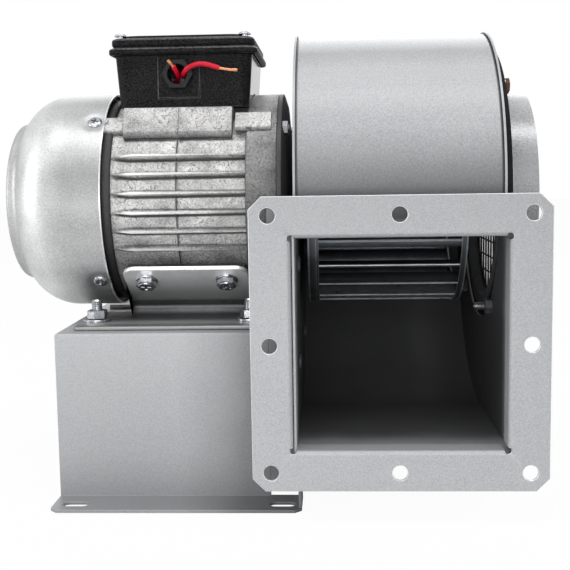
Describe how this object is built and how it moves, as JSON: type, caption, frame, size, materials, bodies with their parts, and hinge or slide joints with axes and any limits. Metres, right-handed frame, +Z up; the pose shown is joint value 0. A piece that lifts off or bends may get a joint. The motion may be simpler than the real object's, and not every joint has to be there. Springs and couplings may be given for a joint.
{
  "type": "centrifugal fan",
  "caption": "Single-inlet centrifugal fan: sheet-metal scroll with a square outlet flange and round inlet collar, driven by a foot-mounted finned motor on a folded pedestal.",
  "frame": {"origin": "middle of the four foot slots, on the base plane", "axes": "+X along the shaft towards the inlet, -Y out of the outlet, +Z up"},
  "size_m": [0.3443, 0.2615, 0.2965],
  "materials": {
    "powder_coat": "silver-grey textured powder coat",
    "zinc_plate": "zinc-plated sheet",
    "fastener": "zinc-plated",
    "cast_aluminium": "raw die casting",
    "shield_casting": "dark casting",
    "core_steel": "laminated sheet",
    "copper": "bare or enamelled copper",
    "bearing_steel": "ground steel",
    "brass": "pressed brass",
    "fan_plastic": "moulded",
    "galvanised": "satin galvanised sheet",
    "black_plastic": "moulded, fine texture",
    "rubber": "sponge rubber",
    "gland_plastic": "moulded",
    "white_plastic": "moulded",
    "red_insulation": "soft vinyl",
    "black_paint": "black enamel",
    "rusty_fastener": "stained steel"
  },
  "bodies": {
    "housing": {"pedestal_stand": "powder_coat", "scroll_support": "powder_coat", "foot_bracket_front": "zinc_plate", "foot_bracket_rear": "zinc_plate", "bracket_screws": "fastener", "foot_bolts": "fastener", "foot_washers": "fastener", "foot_nuts": "fastener", "motor_frame": "cast_aluminium", "stator_core": "core_steel", "stator_winding": "copper", "drive_end_shield": "shield_casting", "rear_end_shield": "cast_aluminium", "shield_studs": "fastener", "shield_nuts": "fastener", "rear_shield_screws": "fastener", "drive_bearing_outer": "bearing_steel", "rear_bearing_outer": "bearing_steel", "wave_washer": "bearing_steel", "fan_cowl": "galvanised", "cowl_screws": "fastener", "terminal_box_body": "black_plastic", "terminal_box_lid": "black_plastic", "lid_gasket": "rubber", "lid_screws": "fastener", "gland_ring": "gland_plastic", "terminal_block": "white_plastic", "run_capacitor": "white_plastic", "lead_long": "red_insulation", "lead_long_copper": "copper", "lead_short": "red_insulation", "lead_short_copper": "copper", "scroll_motor_side_plate": "powder_coat", "scroll_inlet_side_plate": "powder_coat", "scroll_band": "powder_coat", "scroll_support_bolts": "fastener", "outlet_flange": "powder_coat", "inlet_ring": "black_paint", "inlet_ring_screws": "rusty_fastener", "inlet_ring_nuts": "fastener", "inlet_collar": "powder_coat", "inlet_guard": "black_paint"},
    "rotor": {"motor_shaft": "bearing_steel", "shaft_key": "bearing_steel", "rotor_core": "core_steel", "drive_bearing_inner": "bearing_steel", "rear_bearing_inner": "bearing_steel", "cooling_fan": "fan_plastic", "fan_clip": "bearing_steel", "impeller_back_plate": "galvanised", "impeller_vanes": "galvanised", "impeller_front_ring": "galvanised", "impeller_hub": "bearing_steel", "hub_screw": "fastener"},
    "balls": {"bearing_balls": "bearing_steel", "bearing_cages": "brass"}
  },
  "joints": [
    {"name": "rotor_spin", "type": "hinge", "parent": "housing", "child": "rotor", "pos_m": [0, 0, 0.186], "axis": [1, 0, 0], "continuous": true},
    {"name": "ball_orbit", "type": "hinge", "parent": "housing", "child": "balls", "pos_m": [0, 0, 0.186], "axis": [1, 0, 0], "continuous": true}
  ],
  "couplings": [
    {"joint": "ball_orbit", "follows": "rotor_spin", "ratio": 0.38}
  ]
}
